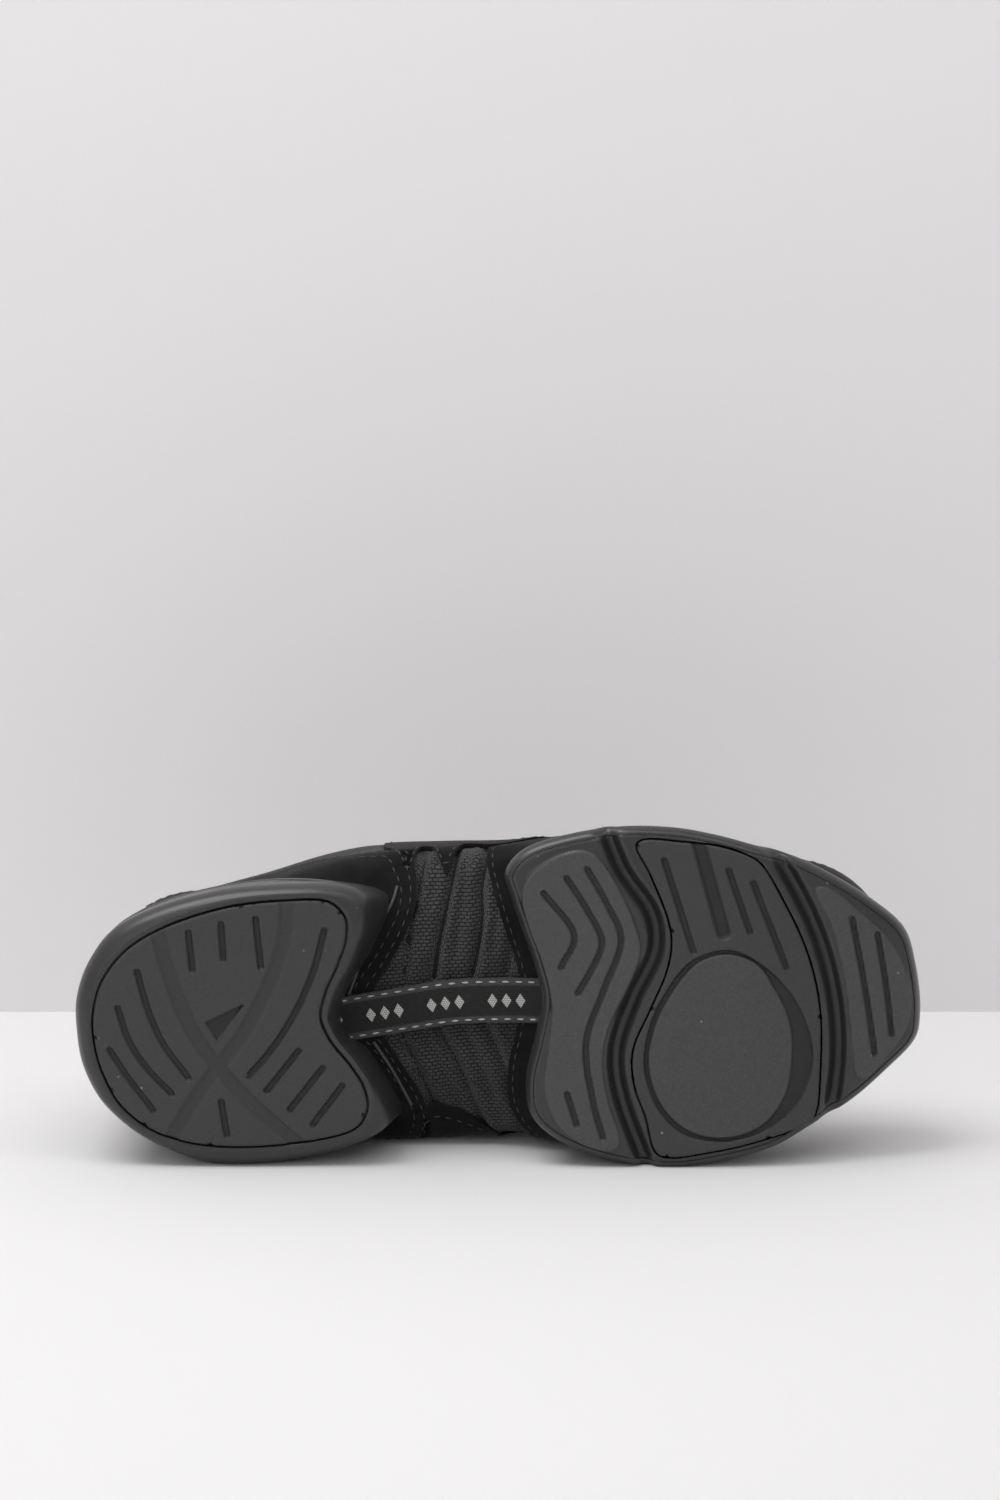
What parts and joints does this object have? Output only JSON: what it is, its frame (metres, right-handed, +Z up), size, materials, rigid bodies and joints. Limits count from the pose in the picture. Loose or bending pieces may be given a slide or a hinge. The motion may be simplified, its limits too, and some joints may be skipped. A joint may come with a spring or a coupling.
{
  "type": "dance sneaker",
  "caption": "Low black dance sneaker with a split rubber sole, laced upper of mesh and suede and a webbing tape across the arch, lying on its side.",
  "frame": {"origin": "centre of the bounding box on the floor, where the shoe lies on its medial side", "axes": "+X from heel to toe along the floor, +Y from the treads towards the collar, +Z up, the lateral side on top"},
  "size_m": [0.252, 0.108, 0.1017],
  "materials": {
    "upper_mesh": "matt open knit",
    "suede": "matt nap",
    "side_rubber": "smooth satin",
    "tread_rubber": "matt fine grain",
    "lining": "matt",
    "webbing": "woven",
    "cord": "braided"
  },
  "bodies": {
    "root": {"upper": "upper_mesh", "heel_counter": "suede", "eyestay": "suede", "toe_guard": "suede", "heel_cup": "side_rubber", "heel_tread": "tread_rubber", "forefoot_sole": "side_rubber", "forefoot_tread": "tread_rubber", "tongue": "upper_mesh", "insole": "lining", "arch_tape": "webbing", "laces": "cord"}
  },
  "joints": []
}
